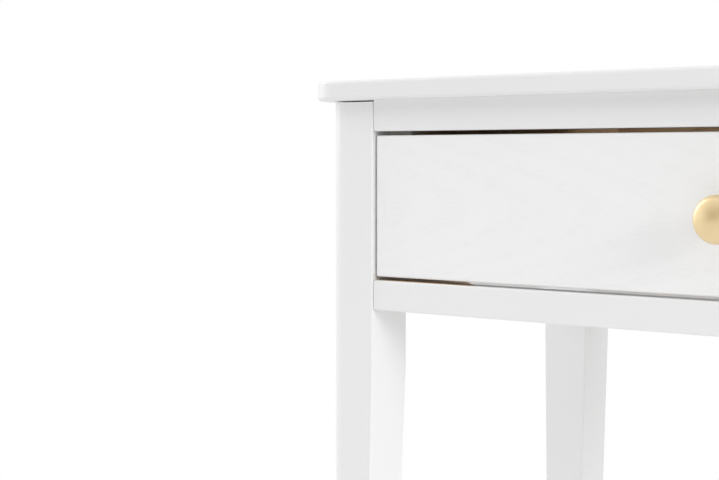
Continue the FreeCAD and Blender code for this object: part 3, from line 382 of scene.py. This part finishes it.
def faced_board(name, low, high):
    """Thin hardboard: a white printed face and back, and brown fibre on its edges."""
    material, graph, shader = new_material(name, Specular_IOR_Level=0.4)
    place = graph.place()
    cloud = graph.noise(place, 18.0, 3.0)
    grit = graph.noise(place, 1600.0, 2.0)
    height = graph.add(graph.split(place)[2], -(low.z + high.z) / 2)
    under_skin = (high.z - low.z) / 2 - SKIN_THICK
    core = graph.math("LESS_THAN", graph.math("ABSOLUTE", height), under_skin)
    face = graph.mix(cloud, gray(0.76), gray(0.80))
    colour = graph.mix(core, face, graph.mix(grit, FIBRE_DARK, FIBRE_LIGHT))
    roughness = graph.add(graph.times(core, 0.3), graph.remap(grit, 0.3, 0.7, 0.42, 0.52))
    wire(graph, shader, colour, roughness, grit, 0.02 * MM)
    return material


def satin_brass(name):
    """Turned and lacquered brass with a satin face: fine rings round the knob's axis."""
    material, graph, shader = new_material(name, Metallic=1.0, Coat_Weight=1.0,
                                           Coat_Roughness=0.2, Coat_IOR=1.9)
    x, y, z = graph.split(graph.shift(graph.place(), tuple(-KNOB_CENTRE)))
    radius = graph.math("SQRT", graph.add(graph.times(x, x), graph.times(z, z)))
    rings = graph.noise(graph.join(graph.times(radius, 5200.0), 0.0, graph.times(y, 5200.0)))
    smudge = graph.remap(graph.noise(graph.place(), 90.0, 3.0), 0.3, 0.7)
    colour = graph.mix(smudge, BRASS_DARK, BRASS_LIGHT)
    roughness = graph.add(graph.remap(smudge, 0.0, 1.0, 0.44, 0.5), graph.times(rings, 0.04))
    wire(graph, shader, colour, roughness, rings, 0.0015 * MM)
    return material


def zinc_steel(name):
    """Bright zinc-plated steel, slightly mottled."""
    material, graph, shader = new_material(name, Metallic=1.0)
    spangle = graph.noise(graph.place(), 1500.0, 3.0)
    colour = graph.mix(spangle, ZINC_DARK, ZINC_LIGHT)
    roughness = graph.remap(spangle, 0.3, 0.7, 0.28, 0.42)
    wire(graph, shader, colour, roughness, spangle, 0.01 * MM)
    return material


def moulded_plastic(name):
    """Pale nylon with a finely eroded surface."""
    material, graph, shader = new_material(name, Specular_IOR_Level=0.5)
    erosion = graph.noise(graph.place(), 2200.0, 2.0)
    cloud = graph.noise(graph.place(), 60.0, 2.0)
    colour = graph.mix(cloud, gray(0.66), gray(0.74))
    roughness = graph.remap(erosion, 0.3, 0.7, 0.42, 0.58)
    wire(graph, shader, colour, roughness, erosion, 0.02 * MM)
    return material


# ----------------------------------------------------------------------------------------
# Dressing the nodes
# ----------------------------------------------------------------------------------------


def dress(node, material):
    """Give a CAD node one material."""
    data = NODES[node].data
    data.materials.clear()
    data.materials.append(material)


def dress_painted():
    """The painted pieces: the grain runs along each, and some have a hidden side left bare."""
    # The drawer front's paint is lighter than on the other pieces: painted light.
    dress("drawer_front", painted_wood(
        "paint_drawer_front", "x", FRONT_CENTRE + Vector((12 * MM, 0, 1 * MM)),
        pith=(0.0, 15 * MM), taper=0.22, spacing=12.5 * MM, pores=0.95, paint=PAINT_WITH_PAINTED_LIGHT_ON_DRAWER,
        bare=bare_side(1, 1, FRONT_HIGH.y)))
    # The top's paint is darker than on the other pieces: painted shade.
    dress("table_top", painted_wood(
        "paint_top", "x", (TOP_LOW + TOP_HIGH) / 2, pith=(60 * MM, 45 * MM), paint=PAINT_WITH_PAINTED_SHADE_ON_TOP))
    dress("front_upper_rail", painted_wood(
        "paint_upper_rail", "x", RAIL_LOW, bare=bare_side(1, 1, RAIL_HIGH.y)))
    dress("front_lower_rail", painted_wood(
        "paint_lower_rail", "x", LOWER_RAIL_LOW, bare=bare_rail_corners))
    dress("back_apron", painted_wood(
        "paint_back_apron", "x", BACK_LOW, pith=(90 * MM, 30 * MM), pores=0.3,
        bare=bare_side(1, -1, BACK_LOW.y)))
    for side, sign in (("left", -1), ("right", 1)):
        dress("side_apron_" + side, painted_wood(
            "paint_side_apron_" + side, "y", (0.1 * sign, 0.0, FRONT_CENTRE.z),
            pith=(0.0, 40 * MM), pores=0.3, bare=bare_side(0, -sign, sign * APRON_LOW.x)))
        for end in ("front", "rear"):
            name = f"leg_{end}_{side}"
            low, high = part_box(name)
            dress(name, painted_wood("paint_" + name, "z", (low + high) / 2,
                                     pith=(30 * MM * sign, 60 * MM)))


def dress_raw():
    """The unpainted wood inside the carcase and the drawer box, and the drawer's bottom."""
    for side, sign in (("left", -1), ("right", 1)):
        for kind in ("kicker", "runner", "guide", "drawer_stop", "drawer_side"):
            node = f"{kind}_{side}"
            dress(node, raw_wood("raw_" + node, "y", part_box(node)[0], sprayed_and_painted_light=kind != "drawer_side",
                                 pith=(35 * MM * sign, -28 * MM)))
        block = "corner_block_" + side
        dress(block, raw_wood("raw_" + block, "x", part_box(block)[0], sprayed_and_painted_light=True))
    dress("drawer_back", raw_wood("raw_drawer_back", "x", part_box("drawer_back")[0],
                                  pith=(60 * MM, 22 * MM)))
    dress("drawer_bottom", faced_board("faced_drawer_bottom", BOTTOM_LOW, BOTTOM_HIGH))
    beech = raw_wood("beech_dowels", "x", (0.0, 0.0, 0.0), dark=BEECH_DARK,
                     light=BEECH_LIGHT, spacing=2 * MM)
    for node in ("rail_dowels", "apron_dowels", "drawer_dowels"):
        dress(node, beech)


def dress_fittings():
    """The knob, the screws and the glides."""
    dress("knob", satin_brass("satin_brass"))
    steel = zinc_steel("zinc_steel")
    for node in ("top_screws", "runner_screws", "drawer_back_screws",
                 "drawer_bottom_screws", "knob_washer", "knob_screw"):
        dress(node, steel)
    plastic = moulded_plastic("glide_plastic")
    for node in NODES:
        if node.startswith("glide_"):
            dress(node, plastic)


# ----------------------------------------------------------------------------------------
# Studio and camera
# ----------------------------------------------------------------------------------------

CAMERA_YAW = math.radians(38.24)
CAMERA_PITCH = math.radians(-3.10)
# The camera's place: to the right of the table's middle, in front of the legs, below the top.
CAMERA_RIGHT = 0.4133
CAMERA_FORWARD = 0.9106
CAMERA_DROP = 0.0439
LENS = 75.67
SENSOR = 36.0

# The brightness of the white surroundings behind the table, and of the room in front of it:
# low down at the left and at the right, and above.
BACKDROP = 1.0
ROOM_LEFT = 1.15
ROOM_RIGHT = 0.15
ROOM_ABOVE = 1.09
# Where the room changes from left to right, from low to high and from front to back: parts
# of a direction whose length is 1.
ROOM_TURNS_RIGHT = (-0.8, -0.4)
ROOM_TURNS_HIGH = (0.2, 0.6)
ROOM_TURNS_BACK = (-0.2, 0.1)
# The share of the floor's brightness that is its own glow, by the table. It grows to 1, and
# the floor is then as bright as the backdrop, between two distances from the table's middle.
FLOOR_GLOW = 0.75
FLOOR_FADE = (0.9, 1.9)
FLOOR_HALF = 14.0
# The soft boxes: place, width and height in metres, and power in watts.
SOFT_BOXES = {
    "key": ((3.69, -1.53, 1.92), (1.45, 1.45), 53.0),
    "side": ((3.96, -0.41, 1.1), (1.6, 1.6), 14.0),
    "front": ((0.8, -2.2, 0.72), (1.8, 0.4), 5.0),
    "strip": ((-2.0, -0.3, 1.5), (0.2, 1.6), 11.0),
}


def make_camera():
    """The camera stands in front of the drawer, to the right, and looks at the left leg."""
    data = bpy.data.cameras.new("camera")
    data.lens = LENS
    data.sensor_width = SENSOR
    data.clip_start = 0.05
    data.clip_end = 100.0
    camera = bpy.data.objects.new("camera", data)
    camera.location = (CAMERA_RIGHT, LEG_LOW.y - CAMERA_FORWARD, TOP_LOW.z - CAMERA_DROP)
    camera.rotation_euler = (math.pi / 2 + CAMERA_PITCH, 0.0, CAMERA_YAW)
    bpy.context.scene.collection.objects.link(camera)
    bpy.context.scene.camera = camera


def make_soft_box(name, place, size, power):
    """A soft box of a width and a height that looks at the drawer front."""
    data = bpy.data.lights.new(name, "AREA")
    data.shape = "RECTANGLE"
    data.size, data.size_y = size
    data.energy = power
    light = bpy.data.objects.new(name, data)
    light.location = place
    aim = FRONT_CENTRE - Vector(place)
    light.rotation_euler = aim.to_track_quat("-Z", "Y").to_euler()
    bpy.context.scene.collection.objects.link(light)


def make_floor():
    """A pale floor that fades into the white surroundings away from the table."""
    mesh = bpy.data.meshes.new("floor")
    turns = ((-1, -1), (1, -1), (1, 1), (-1, 1))
    corners = [(FLOOR_HALF * right, FLOOR_HALF * back, 0) for right, back in turns]
    mesh.from_pydata(corners, [], [(0, 1, 2, 3)])
    floor = bpy.data.objects.new("floor", mesh)
    bpy.context.scene.collection.objects.link(floor)
    material, graph, shader = new_material("floor_paper", Specular_IOR_Level=0.2)
    mottle = graph.noise(graph.place(), 40.0, 3.0)
    graph.feed(shader.inputs["Base Color"], graph.mix(mottle, gray(0.84), gray(0.87)))
    graph.feed(shader.inputs["Roughness"], graph.remap(mottle, 0.3, 0.7, 0.7, 0.8))
    reach = graph.node("VectorMath", {0: graph.place()}, operation="LENGTH").outputs["Value"]
    glow = graph.node("Emission", {"Color": gray(1.0), "Strength": BACKDROP})
    share = graph.remap(reach, *FLOOR_FADE, FLOOR_GLOW, 1.0, smooth=True)
    blend = graph.node("MixShader", {0: share, 1: shader.outputs[0], 2: glow.outputs[0]})
    graph.feed(graph.surface, blend.outputs[0])
    mesh.materials.append(material)


def make_world():
    """White surroundings behind the table, and dimmer ones in front of it."""
    world = bpy.data.worlds.new("studio")
    world.use_nodes = True
    graph = Graph(world.node_tree)
    x, y, z = graph.split(graph.node("TexCoord").outputs["Generated"])
    low_down = graph.remap(x, *ROOM_TURNS_RIGHT, ROOM_LEFT, ROOM_RIGHT, smooth=True)
    high = graph.remap(z, *ROOM_TURNS_HIGH, smooth=True)
    front = graph.add(graph.times(low_down, graph.math("SUBTRACT", 1.0, high)),
                      graph.times(ROOM_ABOVE, high))
    behind = graph.remap(y, *ROOM_TURNS_BACK, smooth=True)
    strength = graph.add(graph.times(BACKDROP, behind),
                         graph.times(front, graph.math("SUBTRACT", 1.0, behind)))
    background = graph.node("Background", {"Color": gray(1.0), "Strength": strength})
    output = graph.node("OutputWorld")
    graph.feed(output.inputs["Surface"], background.outputs[0])
    bpy.context.scene.world = world


def make_studio():
    """The floor, the surroundings and the soft boxes."""
    make_floor()
    make_world()
    for name, (place, size, power) in SOFT_BOXES.items():
        make_soft_box(name, place, size, power)
    bpy.context.scene.view_settings.view_transform = "Standard"


dress_painted()
dress_raw()
dress_fittings()
make_studio()
make_camera()
